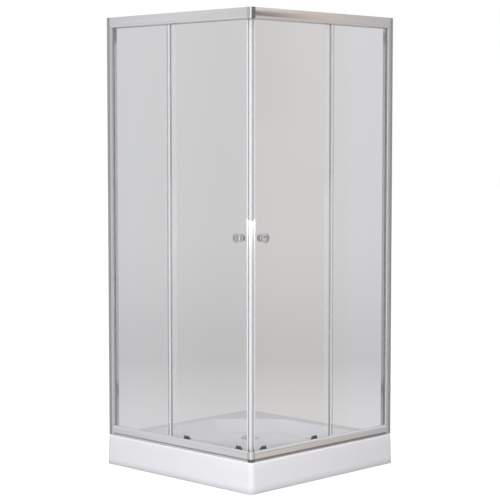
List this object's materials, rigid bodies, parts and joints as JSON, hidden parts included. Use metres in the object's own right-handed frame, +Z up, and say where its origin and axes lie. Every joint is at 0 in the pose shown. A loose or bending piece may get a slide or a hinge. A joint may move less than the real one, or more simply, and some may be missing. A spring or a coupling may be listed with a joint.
{
  "type": "corner shower enclosure",
  "caption": "Square corner-entry shower enclosure: sliding glass doors and fixed glass in an aluminium frame on a low acrylic tray with waste, legs and trap.",
  "frame": {"origin": "middle of the square tray's footprint, on the floor", "axes": "+Z up; the wall sides of the tray face -X and +Y; the entry corner points to +X and -Y. Left and right are as seen from outside the entry corner: the left side faces -Y and the right side faces +X"},
  "size_m": [0.9, 0.9, 1.965],
  "materials": {
    "acrylic": "smooth white acrylic",
    "chipboard": "raw chipboard",
    "zinc_steel": "bright zinc",
    "black_plastic": "moulded",
    "chrome": "polished",
    "rubber": "matt",
    "white_plastic": "moulded",
    "dark_plastic": "fine moulded grain",
    "satin_aluminium": "bright satin anodised",
    "glass": "clear toughened",
    "clear_seal": "clear soft profile",
    "white_seal": "soft white profile",
    "magnet": "bonded magnet strip"
  },
  "bodies": {
    "root": {"tray_shell": "acrylic", "tray_board": "chipboard", "leg_brackets": "zinc_steel", "leg_studs": "zinc_steel", "leg_nuts": "zinc_steel", "leg_feet": "black_plastic", "waste_grate": "chrome", "waste_flange": "chrome", "waste_gasket": "rubber", "trap_body": "white_plastic", "top_corner_connector": "chrome", "bottom_corner_connector": "chrome", "corner_foot": "dark_plastic", "connector_screws": "zinc_steel", "frame_screws": "zinc_steel", "door_stops": "rubber", "left_wall_profile": "satin_aluminium", "left_jamb_profile": "satin_aluminium", "left_top_rail": "satin_aluminium", "left_bottom_rail": "satin_aluminium", "left_fixed_glass": "glass", "left_glass_gasket": "rubber", "left_edge_seal": "clear_seal", "right_wall_profile": "satin_aluminium", "right_jamb_profile": "satin_aluminium", "right_top_rail": "satin_aluminium", "right_bottom_rail": "satin_aluminium", "right_fixed_glass": "glass", "right_glass_gasket": "rubber", "right_edge_seal": "clear_seal"},
    "left_door": {"left_door_glass": "glass", "left_magnet_seal": "white_seal", "left_magnet_strip": "magnet", "left_rear_seal": "clear_seal", "left_knobs": "chrome", "left_knob_stud": "zinc_steel", "left_roller_caps": "dark_plastic", "left_upper_rollers": "dark_plastic", "left_lower_housings": "dark_plastic"},
    "left_upper_front_wheel": {"left_upper_front_wheel": "white_plastic"},
    "left_front_carrier": {"left_front_carrier": "dark_plastic"},
    "left_lower_front_wheel": {"left_lower_front_wheel": "white_plastic"},
    "left_upper_rear_wheel": {"left_upper_rear_wheel": "white_plastic"},
    "left_rear_carrier": {"left_rear_carrier": "dark_plastic"},
    "left_lower_rear_wheel": {"left_lower_rear_wheel": "white_plastic"},
    "right_door": {"right_door_glass": "glass", "right_magnet_seal": "white_seal", "right_magnet_strip": "magnet", "right_rear_seal": "clear_seal", "right_knobs": "chrome", "right_knob_stud": "zinc_steel", "right_roller_caps": "dark_plastic", "right_upper_rollers": "dark_plastic", "right_lower_housings": "dark_plastic"},
    "right_upper_front_wheel": {"right_upper_front_wheel": "white_plastic"},
    "right_front_carrier": {"right_front_carrier": "dark_plastic"},
    "right_lower_front_wheel": {"right_lower_front_wheel": "white_plastic"},
    "right_upper_rear_wheel": {"right_upper_rear_wheel": "white_plastic"},
    "right_rear_carrier": {"right_rear_carrier": "dark_plastic"},
    "right_lower_rear_wheel": {"right_lower_rear_wheel": "white_plastic"}
  },
  "joints": [
    {"name": "left_door_slide", "type": "slide", "parent": "root", "child": "left_door", "axis": [-1, 0, 0], "range_m": [0, 0.31]},
    {"name": "left_upper_front_wheel_spin", "type": "hinge", "parent": "left_door", "child": "left_upper_front_wheel", "pos_m": [0.339, -0.3985, 1.939], "axis": [0, -1, 0], "continuous": true},
    {"name": "left_front_carrier_release", "type": "slide", "parent": "left_door", "child": "left_front_carrier", "axis": [0, 0, 1], "range_m": [0, 0.005], "stiffness_N_per_m": 600, "springref_m": -0.008},
    {"name": "left_lower_front_wheel_spin", "type": "hinge", "parent": "left_front_carrier", "child": "left_lower_front_wheel", "pos_m": [0.339, -0.3985, 0.1665], "axis": [0, -1, 0], "continuous": true},
    {"name": "left_upper_rear_wheel_spin", "type": "hinge", "parent": "left_door", "child": "left_upper_rear_wheel", "pos_m": [0.028, -0.3985, 1.939], "axis": [0, -1, 0], "continuous": true},
    {"name": "left_rear_carrier_release", "type": "slide", "parent": "left_door", "child": "left_rear_carrier", "axis": [0, 0, 1], "range_m": [0, 0.005], "stiffness_N_per_m": 600, "springref_m": -0.008},
    {"name": "left_lower_rear_wheel_spin", "type": "hinge", "parent": "left_rear_carrier", "child": "left_lower_rear_wheel", "pos_m": [0.028, -0.3985, 0.1665], "axis": [0, -1, 0], "continuous": true},
    {"name": "right_door_slide", "type": "slide", "parent": "root", "child": "right_door", "axis": [0, 1, 0], "range_m": [0, 0.31]},
    {"name": "right_upper_front_wheel_spin", "type": "hinge", "parent": "right_door", "child": "right_upper_front_wheel", "pos_m": [0.3985, -0.339, 1.939], "axis": [-1, 0, 0], "continuous": true},
    {"name": "right_front_carrier_release", "type": "slide", "parent": "right_door", "child": "right_front_carrier", "axis": [0, 0, 1], "range_m": [0, 0.005], "stiffness_N_per_m": 600, "springref_m": -0.008},
    {"name": "right_lower_front_wheel_spin", "type": "hinge", "parent": "right_front_carrier", "child": "right_lower_front_wheel", "pos_m": [0.3985, -0.339, 0.1665], "axis": [-1, 0, 0], "continuous": true},
    {"name": "right_upper_rear_wheel_spin", "type": "hinge", "parent": "right_door", "child": "right_upper_rear_wheel", "pos_m": [0.3985, -0.028, 1.939], "axis": [-1, 0, 0], "continuous": true},
    {"name": "right_rear_carrier_release", "type": "slide", "parent": "right_door", "child": "right_rear_carrier", "axis": [0, 0, 1], "range_m": [0, 0.005], "stiffness_N_per_m": 600, "springref_m": -0.008},
    {"name": "right_lower_rear_wheel_spin", "type": "hinge", "parent": "right_rear_carrier", "child": "right_lower_rear_wheel", "pos_m": [0.3985, -0.028, 0.1665], "axis": [-1, 0, 0], "continuous": true}
  ],
  "couplings": [
    {"joint": "left_upper_front_wheel_spin", "follows": "left_door_slide", "rad_per_m": 117.65},
    {"joint": "left_lower_front_wheel_spin", "follows": "left_door_slide", "rad_per_m": 117.65},
    {"joint": "left_upper_rear_wheel_spin", "follows": "left_door_slide", "rad_per_m": 117.65},
    {"joint": "left_lower_rear_wheel_spin", "follows": "left_door_slide", "rad_per_m": 117.65},
    {"joint": "right_upper_front_wheel_spin", "follows": "right_door_slide", "rad_per_m": 117.65},
    {"joint": "right_lower_front_wheel_spin", "follows": "right_door_slide", "rad_per_m": 117.65},
    {"joint": "right_upper_rear_wheel_spin", "follows": "right_door_slide", "rad_per_m": 117.65},
    {"joint": "right_lower_rear_wheel_spin", "follows": "right_door_slide", "rad_per_m": 117.65}
  ]
}
